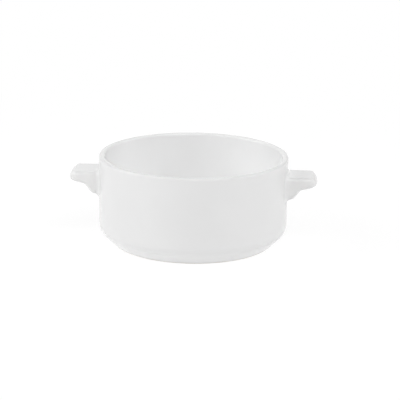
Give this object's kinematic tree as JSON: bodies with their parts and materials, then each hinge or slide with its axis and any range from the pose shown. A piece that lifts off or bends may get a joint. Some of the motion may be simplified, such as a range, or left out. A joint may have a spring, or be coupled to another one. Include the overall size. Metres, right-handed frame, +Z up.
{
  "type": "soup bowl",
  "caption": "Straight-sided white glazed porcelain soup bowl with a bevelled stacking base and a solid lug handle on each side.",
  "frame": {"origin": "centre of the foot ring, on the plane that the bowl stands on", "axes": "+Z up out of the bowl's mouth, +X through the right lug, +Y away from the viewer in the picture"},
  "size_m": [0.157, 0.12, 0.056],
  "materials": {
    "glazed_porcelain": "gloss",
    "glazed_slip": "gloss"
  },
  "bodies": {
    "root": {"bowl_body": "glazed_porcelain", "right_lug": "glazed_porcelain", "left_lug": "glazed_porcelain", "right_slip_joint": "glazed_slip", "left_slip_joint": "glazed_slip"}
  },
  "joints": []
}
